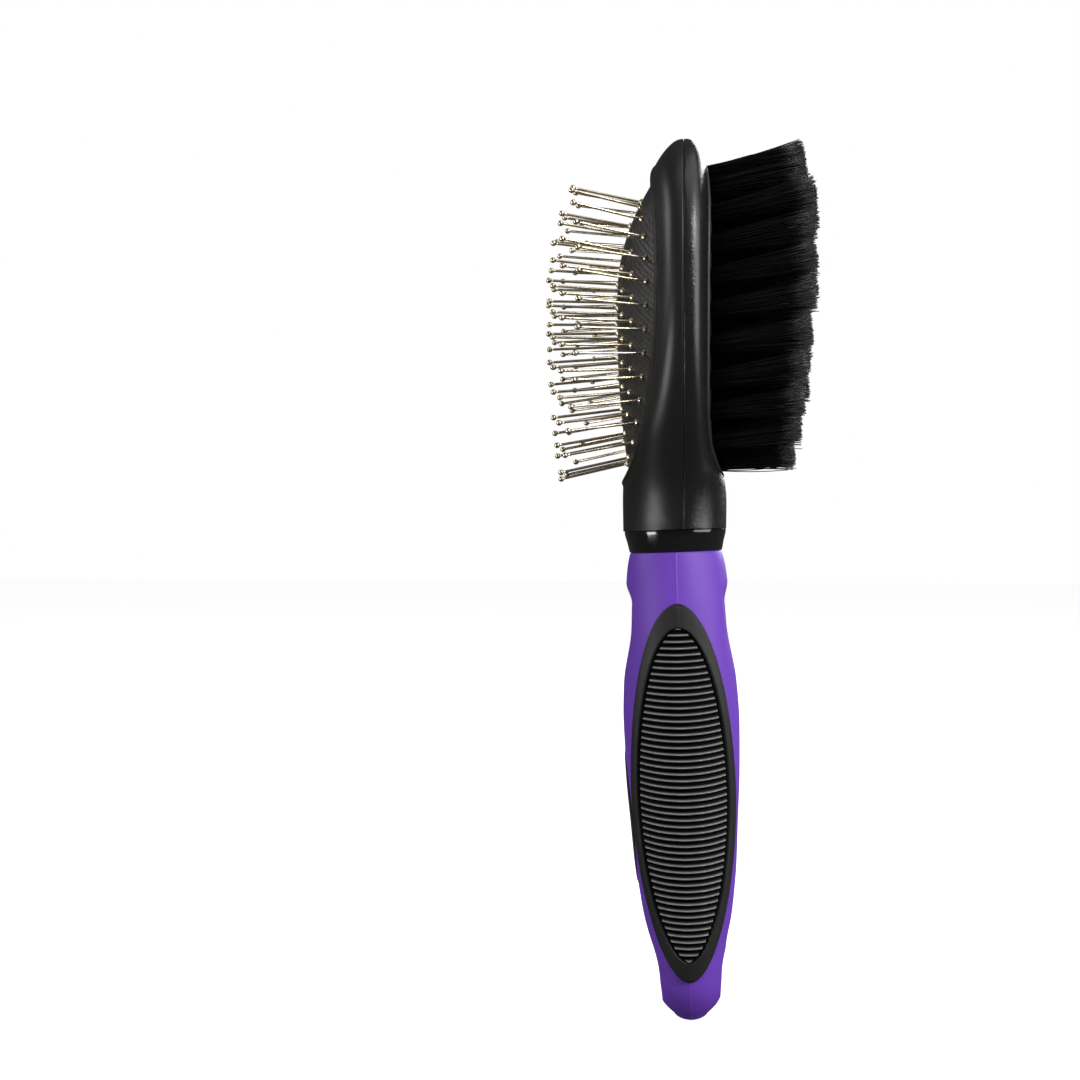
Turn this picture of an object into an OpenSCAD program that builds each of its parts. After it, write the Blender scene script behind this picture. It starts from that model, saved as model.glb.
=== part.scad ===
// Double-sided grooming brush: ball-tipped pins on an air cushion, bristle tufts on the back,
// and a two-material handle. Heights are measured up from the handle end and moved into the
// frame by the modules named upright() and leaning(). Pins face -Y and bristles face +Y.

/* [Overall] */
// Height of the head's top above the handle end
overall_len = 227.4; // [216:0.2:250]
// Height of the grip centre, which is the frame's origin, above the handle end
grip_height = 60; // [50:1:70]
// Lean of the handle towards the bristle side, in degrees
handle_tilt = 1.9; // [0:0.1:4]

/* [Head] */
// Width of the head at its widest
head_w = 65; // [60:1:78]
// Width of the neck where it meets the collar
neck_w = 29.4; // [27:0.2:34]
// Height of the neck's lower face
neck_base = 127.4; // [125:0.2:130]
// Height of the head's widest line
head_mid = 190; // [186:1:194]
// Gap between the two shells along the seam
seam_gap = 0.16; // [0.05:0.01:0.4]

/* [Air cushion] */
// Width of the opening that the cushion fills
pad_w = 49.2; // [40:0.2:52]
// Height of the opening's widest line
pad_mid = 187; // [184:1:190]
// Length of the opening above its widest line
pad_up = 33.5; // [28:0.5:34.5]
// Length of the opening below its widest line
pad_down = 46.5; // [40:0.5:47.5]
// Rise of the dome above its own edge
dome_rise = 10.2; // [6:0.2:12]
// Depth of the cushion's edge below the crest of the rim
edge_sink = 1.8; // [1:0.1:3]
// Thickness of the cushion's wall
pad_wall = 1.4; // [0.8:0.1:2]
// Gap around the cushion and its base plate
pad_gap = 0.15; // [0.05:0.05:0.4]
// Thickness of the base plate
base_t = 2.6; // [1.5:0.1:3]

/* [Pins] */
// Radius of a pin's wire
pin_r = 0.35; // [0.35:0.05:0.7]
// Radius of the ball tip
tip_r = 0.75; // [0.7:0.05:1.3]
// Radius of the bead at the pin's root
bead_r = 0.9; // [0.8:0.05:1.3]
// Thickness of that bead
bead_t = 0.6; // [0.3:0.05:1]
// Length of a pin from its root to the end of its tip
pin_len = 18.7; // [14:0.1:22]
// Gap between the bead and the cushion
bead_gap = 0.3; // [0.25:0.01:0.5]

/* [Bristles] */
// Width of the bristle block
block_w = 48; // [42:0.5:51]
// Height of the block's outer face above the back shell
block_proud = 0.35; // [0:0.05:1]
// Depth of the block below the shell's face at its thinnest
block_floor = 1.8; // [1.2:0.1:2.4]
// Distance of the tuft tips from the seam at their highest
tuft_reach = 33.3; // [30:0.1:42]
// Slope of the tufts towards the head's top
tuft_lean = 0.13; // [0:0.01:0.2]
// Radius of a tuft at its root
tuft_root_r = 1.5; // [1.2:0.05:1.8]
// Radius of a tuft at its tip
tuft_tip_r = 2.45; // [2.2:0.05:3]
// Depth of a tuft's hole
tuft_hole = 3.2; // [2.4:0.1:3.6]
// Gap around a tuft in its hole
tuft_gap = 0.06; // [0.02:0.01:0.15]
// Thickness of the staple plate under a tuft
staple_t = 0.5; // [0.3:0.05:0.8]

/* [Handle] */
// Width of the handle at its widest, without the grips
handle_w = 31.4; // [29:0.2:37]
// Depth of the handle at its deepest
handle_d = 30; // [28:0.2:35]
// Height of the handle's upper end
handle_top = 121.8; // [120:0.2:124]
// Depth of the front thumb dimple
front_dimple = 1.8; // [0.4:0.1:2.2]
// Depth of the back thumb dimple
back_dimple = 1.3; // [0.4:0.1:2.2]
// Width of the thumb dimples
dimple_w = 15.6; // [12:0.2:18]
// Radius of the tang that joins the handle to the head
tang_r = 5.5; // [4:0.1:7]
// Height of the tang's lower end
tang_low = 96; // [88:1:104]
// Height of the tang's upper end
tang_high = 136; // [132:1:138]
// Radial gap around the tang
tang_gap = 0.05; // [0.02:0.01:0.1]

/* [Collar] */
// Upper radius of the collar
collar_top_r = 13.1; // [12.6:0.05:14]
// Lower radius of the collar
collar_low_r = 12.05; // [11:0.05:12.4]
// Gap above and below the collar
collar_gap = 0.12; // [0.05:0.01:0.3]

/* [Grips] */
// Half width of a grip's outline, seen from the side
grip_half = 12.7; // [10:0.1:13]
// Height of the grip's lower point
grip_low = 13; // [9:0.2:15]
// Height of the grip's upper point
grip_high = 108.9; // [100:0.2:110]
// Height of the grip's widest line
grip_mid = 61; // [55:1:68]
// How far the grips stand out of the handle
grip_proud = 1.3; // [0.5:0.1:1.8]
// Depth of the grip's pocket
grip_pocket = 1; // [0.5:0.1:1.6]
// Gap between a grip and its pocket
grip_gap = 0.1; // [0.03:0.01:0.15]

/* [Badge] */
// Length of the blank oval badge
badge_len = 35; // [24:1:38]
// Width of the badge
badge_w = 10; // [6:0.5:11]
// Height of the badge's centre
badge_mid = 52.8; // [50:0.2:56]
// Depth of the badge's pocket below the handle's face
badge_pocket = 1.5; // [1.2:0.1:2]
// How far the badge stands out
badge_proud = 0.2; // [0:0.05:0.4]
// Gap around the badge
badge_gap = 0.08; // [0.04:0.01:0.2]

/* [Hang hole] */
// Width of the hang hole
hole_w = 7.9; // [6:0.1:9]
// Length of the hang hole
hole_len = 12; // [10:0.2:13]
// Height of the hang hole's centre
hole_mid = 12.6; // [12:0.2:14]
// How much the hole flares at the front face, all round
hole_flare = 2.3; // [0.5:0.1:2.6]
// How much the hole flares at the back face, all round
back_flare = 0.5; // [0.2:0.1:2.6]

/* [Hidden] */
pin_levels = 5;

head_sides = 28;
egg_sides = 72;
egg_power = 2.2;
far = 60;
hair = 0.01;

module upright() translate([0, 0, -grip_height]) children();
module leaning() rotate([handle_tilt, 0, 0]) translate([0, 0, -grip_height]) children();

// ---- helpers ----
function clamp01(t) = min(1, max(0, t));
function ease(t) = let (u = clamp01(t)) u * u * (3 - 2 * u);
function power(v, p) = v <= 0 ? 0 : pow(v, p);
function signed_power(v, p) = sign(v) * power(abs(v), p);

// A smooth curve through knots [at, value], with slopes taken from the neighbours.
function slope(k, i) =
  i == 0 ? (k[1][1] - k[0][1]) / (k[1][0] - k[0][0]) :
  i == len(k) - 1 ? (k[i][1] - k[i - 1][1]) / (k[i][0] - k[i - 1][0]) :
  (k[i + 1][1] - k[i - 1][1]) / (k[i + 1][0] - k[i - 1][0]);
function span_of(k, t, i = 0) = i >= len(k) - 2 || t < k[i + 1][0] ? i : span_of(k, t, i + 1);
function curve(k, t) =
  t <= k[0][0] ? k[0][1] :
  t >= k[len(k) - 1][0] ? k[len(k) - 1][1] :
  let (i = span_of(k, t), w = k[i + 1][0] - k[i][0], u = (t - k[i][0]) / w)
  (1 + 2 * u) * (1 - u) * (1 - u) * k[i][1] + u * (1 - u) * (1 - u) * w * slope(k, i) +
  u * u * (3 - 2 * u) * k[i + 1][1] + u * u * (u - 1) * w * slope(k, i + 1);

// Skin over stacked rings that all have n points, with a flat fan at each end. The cells from
// number turn0 to number turn1 of each ring are split along their other diagonal.
function skin_faces(rows, n, turn0, turn1) = concat(
  [for (r = [0:rows - 2], k = [0:n - 1])
    let (a = r * n + k, b = r * n + (k + 1) % n) [a, a + n, k < turn0 || k > turn1 ? b : b + n]],
  [for (r = [0:rows - 2], k = [0:n - 1])
    let (a = r * n + k, b = r * n + (k + 1) % n) k < turn0 || k > turn1 ? [b, a + n, b + n] : [a, b + n, b]],
  [[for (k = [0:n - 1]) k]],
  [[for (k = [n - 1:-1:0]) (rows - 1) * n + k]]
);
module skin(rings, turn0 = 1, turn1 = 0) {
  polyhedron(
    points = [for (r = rings, p = r) p],
    faces = skin_faces(len(rings), len(rings[0]), turn0, turn1),
    convexity = 6
  );
}

// ---- egg outline, shared by the opening, the dome, the pins and the tufts ----
function egg_point(a, w, up, down) = [
  w * signed_power(cos(a), 2 / egg_power),
  pad_mid + (sin(a) >= 0 ? up : down) * signed_power(sin(a), 2 / egg_power)
];
function egg(w, up, down, n = egg_sides) = [for (k = [0:n - 1]) egg_point(360 * k / n, w, up, down)];
module egg_prism(w, up, down, y0, y1) {
  translate([0, y1, 0]) rotate([90, 0, 0]) linear_extrude(height = y1 - y0) polygon(egg(w, up, down));
}
// Evenly spaced stations round an egg, starting at its top.
egg_steps = 180;
function egg_walk(w, up, down) =
  let (
    p = [for (k = [0:egg_steps]) egg_point(90 + 360 * k / egg_steps, w, up, down)],
    s = [for (k = 0, d = 0; k <= egg_steps; d = d + (k < egg_steps ? norm(p[k + 1] - p[k]) : 0), k = k + 1) d]
  )
  [for (k = [0:egg_steps]) [s[k], p[k]]];
function walk_at(walk, d) =
  let (i = span_of(walk, d), u = (d - walk[i][0]) / (walk[i + 1][0] - walk[i][0]))
  walk[i][1] * (1 - u) + walk[i + 1][1] * u;
function egg_stations(count, w, up, down) =
  let (walk = egg_walk(w, up, down), total = walk[egg_steps][0])
  [for (k = [0:count - 1]) walk_at(walk, total * k / count)];

// ---- head surfaces ----
head_up = overall_len - head_mid;
head_down = head_mid - neck_base;
function head_half(z) =
  z >= head_mid
    ? head_w / 2 * power(1 - power((z - head_mid) / head_up, egg_power), 1 / egg_power)
    : neck_w / 2 + (head_w - neck_w) / 4 * (1 + cos(180 * power((head_mid - z) / head_down, 1.35)));
// Share of the way from the neck's base to the head's top, as heights above the base in a 102.6 head.
function head_share(z) = (z - neck_base) / (overall_len - neck_base) * 102.6;
front_knots = [
  [0, 15.7], [10, 15.8], [16, 15.4], [24, 14], [35, 11.5], [48, 9.5], [60, 8.7],
  [79, 9], [86, 9.2], [90.5, 8.9], [93.5, 8], [96, 6.7], [98.3, 5.2], [100.4, 3.5], [101.8, 2], [102.6, 1]
];
back_knots = [
  [0, 11], [9, 11], [14, 10.3], [17, 8.8], [22, 7.3], [28, 6.7], [60, 6.6],
  [79, 6.7], [87, 6.4], [93.1, 5.7], [97.5, 4.4], [100, 3], [101.6, 1.9], [102.6, 0.9]
];
function front_depth(z) = curve(front_knots, head_share(z));
function back_depth(z) = curve(back_knots, head_share(z));
// The sections are round at the neck and squarer at the head.
function front_power(z) = 2 + 0.6 * ease((head_share(z) - 8) / 20);
function back_power(z) = 2 + 1.6 * ease((head_share(z) - 8) / 20);
function front_face(x, z) =
  front_depth(z) * power(1 - power(abs(x) / head_half(z), front_power(z)), 1 / front_power(z));
function back_face(x, z) =
  back_depth(z) * power(1 - power(abs(x) / head_half(z), back_power(z)), 1 / back_power(z));

head_rows = concat(
  [for (h = [0, 3, 6, 9, 12, 15, 18, 21, 24, 28, 32, 36, 41, 47, 54, 61, 68, 75, 82]) h],
  [87, 91, 94, 96.5, 98.5, 100, 101.2, 102, 102.5]
);
// A ring of one shell half: a curved face and a straight seam, leaning with the handle at the neck.
function half_ring(h, side, grow) =
  let (
    z = neck_base + collar_gap + h / 102.6 * (overall_len - neck_base - collar_gap),
    p = side < 0 ? front_power(z) : back_power(z),
    d = (side < 0 ? front_depth(z) : back_depth(z)) + grow,
    w = head_half(z) + grow,
    lean = tan(handle_tilt) * (1 - ease(h / 20))
  )
  [for (k = [0:head_sides])
    let (
      a = 180 * k / head_sides,
      x = w * signed_power(cos(a), 2 / p) * -side,
      y = side * (seam_gap / 2 + (d - seam_gap / 2) * power(sin(a), 2 / p))
    )
    [x, y, z + y * lean]];
module head_half_solid(side, grow = 0) {
  skin([for (h = head_rows) half_ring(h, side, grow)]);
}

module tang(gap) {
  translate([0, 0, tang_low - gap]) cylinder(r = tang_r + gap, h = tang_high - tang_low + 2 * gap, $fn = 48);
}

module head_front_shell() {
  color([0.07, 0.07, 0.075]) difference() {
    upright() head_half_solid(-1);
    upright() egg_prism(pad_w / 2, pad_up, pad_down, -far, 1);
    leaning() tang(tang_gap);
  }
}

block_up = pad_up + 2;
block_down = pad_down - 0.3;
module head_back_shell() {
  color([0.07, 0.07, 0.075]) difference() {
    upright() head_half_solid(1);
    upright() egg_prism(block_w / 2, block_up, block_down, block_floor, far);
    leaning() tang(tang_gap);
  }
}

// ---- air cushion ----
base_back = -seam_gap / 2 - pad_gap;
module cushion_base() {
  color([0.12, 0.12, 0.12]) upright()
    egg_prism(pad_w / 2 - pad_gap, pad_up - pad_gap, pad_down - pad_gap, base_back - base_t, base_back);
}

dome_power = 2.15;
function crest(a) =
  let (p = egg_point(a, pad_w / 2, pad_up, pad_down)) front_face(p[0], p[1]);
side_crest = crest(0);
crown_edge = side_crest + 0.3;
// Depth of the dome in front of the seam, at share s of the way from its middle to its edge.
function dome_depth(s, a) =
  crown_edge + (crest(a) - edge_sink - crown_edge) * s * s + dome_rise * (1 - power(s, dome_power));
// The same, for a point given by its place: s and a are worked out from it.
function egg_share(x, z) =
  let (u = abs(x) / (pad_w / 2), v = abs(z - pad_mid) / (z >= pad_mid ? pad_up : pad_down))
  power(power(u, egg_power) + power(v, egg_power), 1 / egg_power);
function egg_angle(x, z) =
  let (
    u = signed_power(x / (pad_w / 2), egg_power / 2),
    v = signed_power((z - pad_mid) / (z >= pad_mid ? pad_up : pad_down), egg_power / 2)
  )
  u == 0 && v == 0 ? 0 : atan2(v, u);
function dome_at(x, z) = dome_depth(egg_share(x, z), egg_angle(x, z));

pad_rows = 9;
pad_sides = 64;
function dome_ring(s, inset, drop) =
  [for (k = [0:pad_sides - 1])
    let (
      a = 360 * k / pad_sides,
      p = egg_point(a, (pad_w / 2 - inset) * s, (pad_up - inset) * s, (pad_down - inset) * s)
    )
    [p[0], -dome_depth(s, a) + drop, p[1]]];
skirt_foot = base_back - base_t - 0.1;
function foot_ring(inset) =
  [for (p = egg(pad_w / 2 - inset, pad_up - inset, pad_down - inset, pad_sides)) [p[0], skirt_foot, p[1]]];
module pin_pad() {
  outer = [for (k = [1:pad_rows]) dome_ring(k / pad_rows, pad_gap, 0)];
  inner = [for (k = [pad_rows:-1:1]) dome_ring(k / pad_rows, pad_gap + pad_wall, pad_wall)];
  color([0.05, 0.05, 0.05]) upright()
    skin(concat(outer, [foot_ring(pad_gap)], [foot_ring(pad_gap + pad_wall)], inner));
}

// ---- pins ----
pin_rings = [[30, 20.1, 25.3, 42.2], [24, 15.2, 19.6, 36.6], [18, 10.1, 13.9, 31.6], [10, 5.3, 7.4, 19.8]];
centre_pins = [[0, pad_mid], [0, pad_mid - 5.8], [0, pad_mid - 11.6]];
pad_scale_w = pad_w / 49.2;
pad_scale_up = pad_up / 33.5;
pad_scale_down = pad_down / 46.5;
pin_places = concat(
  [for (r = pin_rings, p = egg_stations(r[0], r[1] * pad_scale_w, r[2] * pad_scale_up, r[3] * pad_scale_down)) p],
  centre_pins
);
// Pins fan out sideways and lengthways, as the dome's face turns.
fan_side = 0.0263;
fan_long = 0.0064;
fan_mid = pad_mid - 8;
function pin_way(p) = let (v = [fan_side * p[0], -1, fan_long * (p[1] - fan_mid)]) v / norm(v);
// Each pin belongs to a level by how far its root stands in front of the side rim.
level_low = 2;
level_high = crown_edge + dome_rise - side_crest;
level_step = (level_high - level_low) / pin_levels;
function root_height(p) = dome_at(p[0], p[1]) - side_crest;
function level_of(p) = min(pin_levels, max(1, 1 + floor((level_high - root_height(p)) / level_step)));
module along(way) {
  rotate([0, acos(way[2]), atan2(way[1], way[0])]) children();
}
module pin(p) {
  way = pin_way(p);
  face = dome_at(p[0], p[1]);
  translate([p[0], -face - bead_gap, p[1]]) along(way) union() {
    cylinder(r = bead_r, h = bead_t, $fn = 24);
    translate([0, 0, bead_t / 2]) cylinder(r = pin_r, h = pin_len - bead_t / 2 - tip_r, $fn = 24);
    translate([0, 0, pin_len - tip_r]) sphere(r = tip_r, $fn = 24);
  }
}
module pins_level(k) {
  color([0.8, 0.8, 0.82]) upright()
    for (p = pin_places) if (level_of(p) == k) pin(p);
}

// ---- bristles ----
tuft_rings = [[23, 20.4, 32.2, 42.6], [17, 13.6, 24, 34], [12, 7, 16.6, 25.6]];
block_scale = block_w / 48;
tuft_fan_long = 0.0004;
tuft_fan_side = 0.008;
function tuft_way(p) =
  let (v = [tuft_fan_side * p[0], 1, tuft_lean + tuft_fan_long * (p[1] - pad_mid)]) v / norm(v);
// The tips follow one shallow crown over the whole field, which falls off faster at its top.
crown_mid = pad_mid + 8;
crown_fall_up = 0.006;
crown_fall_down = 0.0018;
crown_fall_side = 0.004;
function tuft_tip(p) =
  let (d = p[1] - crown_mid)
  tuft_reach - (d > 0 ? crown_fall_up : crown_fall_down) * d * d - crown_fall_side * p[0] * p[0];
function tuft_places(k) =
  k < 3
    ? egg_stations(tuft_rings[k][0], tuft_rings[k][1] * block_scale, tuft_rings[k][2] * pad_scale_up,
        tuft_rings[k][3] * pad_scale_down)
    : [for (i = [0:3]) [0, pad_mid + 9.2 - 8.3 * i]];
function tuft_face(p) = back_face(p[0], p[1]) + block_proud;
module at_tuft(p, depth) {
  way = tuft_way(p);
  translate([p[0], tuft_face(p), p[1]] - way * depth) along(way) children();
}
module tuft(p) {
  way = tuft_way(p);
  length = (tuft_tip(p) - tuft_face(p)) / way[1] + tuft_hole - staple_t - 2 * tuft_gap;
  at_tuft(p, tuft_hole - staple_t - 2 * tuft_gap)
    cylinder(r1 = tuft_root_r, r2 = tuft_tip_r, h = length, $fn = 24);
}
module tufts(k) {
  color([0.04, 0.04, 0.04]) upright() for (p = tuft_places(k)) tuft(p);
}
// The block's holes flare a little, as the tufts do.
module bristle_block() {
  color([0.06, 0.06, 0.065]) upright() difference() {
    intersection() {
      head_half_solid(1, block_proud);
      egg_prism(block_w / 2 - pad_gap, block_up - pad_gap, block_down - pad_gap, block_floor + pad_gap / 2, far);
    }
    for (k = [0:3], p = tuft_places(k))
      at_tuft(p, tuft_hole) cylinder(r = tuft_root_r + 0.16 + tuft_gap, h = tuft_hole + 3, $fn = 24);
  }
}
module tuft_staples() {
  color([0.7, 0.68, 0.6]) upright()
    for (k = [0:3], p = tuft_places(k))
      at_tuft(p, tuft_hole - tuft_gap) translate([-tuft_root_r * 0.8, -0.3, 0])
        cube([tuft_root_r * 1.6, 0.6, staple_t]);
}

// ---- handle ----
// Shares of the half width and half depth at heights above the handle end, for a 121.8 handle.
half_w_knots = [
  [0.2, 0.2], [2, 0.345], [5, 0.5], [9, 0.63], [14.5, 0.7], [20.7, 0.777], [27, 0.828], [33, 0.873],
  [40, 0.917], [52, 0.968], [62, 0.994], [72, 1], [80, 0.994], [88, 0.975], [98, 0.936], [106, 0.904],
  [113, 0.854], [118.5, 0.796], [121.8, 0.75]
];
half_d_knots = [
  [0.2, 0.11], [2, 0.3], [5, 0.485], [9, 0.582], [14.5, 0.615], [20.7, 0.66], [27, 0.753], [33, 0.813],
  [40, 0.867], [52, 0.92], [62, 0.967], [72, 0.993], [80, 1], [88, 0.973], [98, 0.927], [106, 0.907],
  [113, 0.88], [118.5, 0.84], [121.8, 0.79]
];
function handle_share(z) = z / handle_top * 121.8;
function half_w(z) = handle_w / 2 * curve(half_w_knots, handle_share(z));
function half_d(z) = handle_d / 2 * curve(half_d_knots, handle_share(z));
// A point on the handle at angle a round its section, moved out along the face's own direction.
function handle_point(a, z, out) =
  let (w = half_w(z), d = half_d(z), n = [cos(a) / w, sin(a) / d])
  [w * cos(a), d * sin(a)] + out * n / norm(n);

// Grip outline: half of its width at height z.
function grip_reach(z) =
  z >= grip_mid
    ? grip_half * power(1 - power((z - grip_mid) / (grip_high - grip_mid), 2), 0.5)
    : grip_half * power(1 - power((grip_mid - z) / (grip_mid - grip_low), 1.8), 0.55);
grip_z0 = grip_low + 0.8;
grip_z1 = grip_high - 0.7;
grip_width_share = grip_half / (handle_d / 2);
function grip_angle(z) =
  let (c = min(grip_z1, max(grip_z0, z))) asin(min(0.96, grip_reach(c) / half_d(c)));

// Thumb dimple on the front and the back, steep at its top edge and fading downwards.
dimple_top = 114.2;
dimple_low = 87.6;
function dimple(x, y, z) =
  (y < 0 ? front_dimple : back_dimple) * power(1 - power(min(1, abs(x) / (dimple_w / 2)), 2), 1.2) *
  ease((dimple_top - z) / 5.7) * ease((z - dimple_low) / 17);

grip_steps = 8;
face_steps = 10;
corner = 0.5;
function body_ring(z, pocket) =
  let (
    b = grip_angle(z),
    side = [for (k = [0:grip_steps]) -(b - corner) + 2 * (b - corner) * k / grip_steps],
    face = [for (k = [1:face_steps - 1]) b + (180 - 2 * b) * k / face_steps],
    turn = function(a, out) let (p = handle_point(a, z, out)) [p[0], p[1] - sign(p[1]) * dimple(p[0], p[1], z), z]
  )
  concat(
    [turn(-b, 0)], [for (a = side) turn(a, -pocket)], [turn(b, 0)],
    [for (a = face) turn(a, 0)],
    [turn(180 - b, 0)], [for (a = side) turn(180 + a, -pocket)], [turn(180 + b, 0)],
    [for (a = face) turn(180 + a, 0)]
  );
grip_rows = concat(
  [grip_z0, grip_z0 + 1, grip_z0 + 2.5],
  [for (k = [1:17]) grip_z0 + 2.5 + (grip_z1 - grip_z0 - 5) * k / 18],
  [grip_z1 - 2.5, grip_z1 - 1, grip_z1]
);
low_rows = [0.3, 0.9, 1.8, 3, 4.6, 6.4, 8.4, 10.2, 12];
high_rows = [for (h = [1.2, 2.4, 4, 6.5, 9, 11.5]) handle_top - 0.4 - 11.5 + h];
module handle_solid(pocket) {
  skin(concat(
    [for (z = low_rows) body_ring(z, 0)],
    [body_ring(grip_z0 - hair, 0)],
    [for (z = grip_rows) body_ring(z, pocket)],
    [body_ring(grip_z1 + hair, 0)],
    [for (z = high_rows) body_ring(z, 0)],
    [body_ring(handle_top, 0)]
  ));
}

// The badge pocket lies square to the handle's face at the badge's middle.
badge_lean = atan((half_d(badge_mid + 8) - half_d(badge_mid - 8)) / 16);
module badge_prism(grow, low) {
  n = 48;
  translate([0, -half_d(badge_mid), badge_mid]) rotate([90 + badge_lean, 0, 0]) translate([0, 0, -low])
    linear_extrude(height = low + 3)
      polygon([for (k = [0:n - 1]) [(badge_w / 2 + grow) * cos(360 * k / n), (badge_len / 2 + grow) * sin(360 * k / n)]]);
}

hole_r = hole_w / 2;
hole_run = (hole_len - hole_w) / 2;
flare_start = 2.6;
module slot(r, y0, y1) {
  for (s = [-1, 1]) translate([0, y1, hole_mid + s * hole_run]) rotate([90, 0, 0])
    cylinder(r = r, h = y1 - y0, $fn = 48);
  translate([-r, y0, hole_mid - hole_run]) cube([2 * r, y1 - y0, 2 * hole_run]);
}
// The flare is a cone round each end of the hole and a straight wedge between them.
module flare(side) {
  depth = half_d(hole_mid) + 1 - flare_start;
  wide = hole_r + (side < 0 ? hole_flare : back_flare) * 1.25;
  for (s = [-1, 1]) translate([0, side * flare_start, hole_mid + s * hole_run]) rotate([-90 * side, 0, 0])
    cylinder(r1 = hole_r, r2 = wide, h = depth, $fn = 48);
  translate([0, 0, hole_mid - hole_run]) linear_extrude(height = 2 * hole_run)
    polygon([[-hole_r, side * flare_start], [hole_r, side * flare_start],
      [wide, side * (flare_start + depth)], [-wide, side * (flare_start + depth)]]);
}

module handle_body() {
  color([0.36, 0.1, 0.42]) leaning() difference() {
    handle_solid(grip_pocket);
    tang(tang_gap);
    slot(hole_r, -far, far);
    flare(-1);
    flare(1);
    badge_prism(badge_gap, badge_pocket);
  }
}

function grip_ring(z, side) =
  let (
    b = grip_angle(z) - corner,
    a = [for (k = [0:grip_steps]) -b + 2 * b * k / grip_steps],
    turn = function(t, out) let (p = handle_point(t, z, out)) [side * p[0], p[1], z],
    ring = concat(
      [for (t = a) turn(t, grip_proud * (0.55 + 0.45 * power(cos(90 * t / b), 0.5)))],
      [for (k = [grip_steps:-1:0]) turn(a[k], grip_gap - grip_pocket)]
    )
  )
  side > 0 ? ring : [for (k = [len(ring) - 1:-1:0]) ring[k]];
module grip(side) {
  rows = concat([grip_z0 + grip_gap], [for (k = [1:len(grip_rows) - 2]) grip_rows[k]], [grip_z1 - grip_gap]);
  inner = side > 0 ? grip_steps + 1 : 0;
  color([0.06, 0.06, 0.06]) leaning()
    skin([for (z = rows) grip_ring(z, side)], inner, inner + grip_steps - 1);
}

// The badge's face follows the handle's, and its back is flat on the pocket's floor.
module badge() {
  rows = [for (k = [-6:6]) badge_mid + k * (badge_len / 2 + 3) / 6];
  color([0.03, 0.03, 0.03]) leaning() intersection() {
    skin([for (z = rows) [for (a = [0:12:348]) let (p = handle_point(a, z, badge_proud)) [p[0], p[1], z]]]);
    badge_prism(0, badge_pocket - badge_gap);
  }
}

module handle_core() {
  color([0.75, 0.75, 0.75]) leaning() tang(0);
}

module collar() {
  low = handle_top + collar_gap;
  high = neck_base;
  edge = 0.35;
  color([0.05, 0.05, 0.055]) leaning() rotate_extrude($fn = 96) polygon([
    [tang_r + tang_gap, low], [collar_low_r - edge, low], [collar_low_r, low + edge],
    [collar_top_r, high - 1.1], [collar_top_r, high - edge], [collar_top_r - edge, high], [tang_r + tang_gap, high]
  ]);
}

head_front_shell();
head_back_shell();
cushion_base();
pin_pad();
for (k = [1:pin_levels]) pins_level(k);
bristle_block();
tufts(0);  // tuft_ring_outer
tufts(1);  // tuft_ring_middle
tufts(2);  // tuft_ring_inner
tufts(3);  // tuft_row_centre
tuft_staples();
collar();
handle_core();
handle_body();
grip(-1);  // grip_left
grip(1);  // grip_right
badge();
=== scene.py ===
# %% [markdown]
# # A double-sided bristle brush
# One side of the head carries ball-tipped steel pins on a rubber air cushion, the other side
# carries tufts of black nylon. A glossy collar joins the head to a purple handle with two
# ribbed rubber grips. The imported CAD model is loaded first, as a fixed frame: every piece below
# is built around it, in the same place and at the same size.

# %% Load the frame
import math

import bpy
import numpy as np
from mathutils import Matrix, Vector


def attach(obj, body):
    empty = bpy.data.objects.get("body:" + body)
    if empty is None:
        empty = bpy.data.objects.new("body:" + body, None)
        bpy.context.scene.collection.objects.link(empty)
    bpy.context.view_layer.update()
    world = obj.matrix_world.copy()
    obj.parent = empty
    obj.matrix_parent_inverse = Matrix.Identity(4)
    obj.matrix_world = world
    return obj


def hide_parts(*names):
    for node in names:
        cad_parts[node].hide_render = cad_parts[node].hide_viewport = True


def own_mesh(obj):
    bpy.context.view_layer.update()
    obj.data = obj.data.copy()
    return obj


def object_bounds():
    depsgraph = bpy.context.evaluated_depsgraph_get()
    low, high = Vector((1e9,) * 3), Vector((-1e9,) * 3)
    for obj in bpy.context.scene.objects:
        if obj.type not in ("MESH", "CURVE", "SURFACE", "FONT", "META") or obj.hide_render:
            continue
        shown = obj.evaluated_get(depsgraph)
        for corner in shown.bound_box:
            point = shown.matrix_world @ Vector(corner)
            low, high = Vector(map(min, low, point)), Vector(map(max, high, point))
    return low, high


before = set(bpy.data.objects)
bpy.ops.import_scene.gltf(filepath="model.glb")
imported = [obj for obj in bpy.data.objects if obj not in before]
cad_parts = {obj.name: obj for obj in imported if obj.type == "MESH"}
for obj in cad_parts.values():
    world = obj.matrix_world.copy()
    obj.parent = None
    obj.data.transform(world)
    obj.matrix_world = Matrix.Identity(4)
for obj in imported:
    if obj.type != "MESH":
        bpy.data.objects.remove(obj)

cad_low, cad_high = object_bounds()
MM = 0.001
GRIP_HEIGHT = 60.0
LEAN = math.radians(1.9)
print("CAD box in mm:", [round((b - a) / MM, 1) for a, b in zip(cad_low, cad_high)])


# %% [markdown]
# ## Drawing with numpy
# Shapes could be pushed about by hand in Edit Mode, but a brush is made of smooth sweeps, so
# each one is worked out here as a grid of points and put into a mesh in one go. All heights are
# in millimetres above the handle's end, which keeps the numbers readable; one function turns
# them into the frame's metres.

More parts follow.
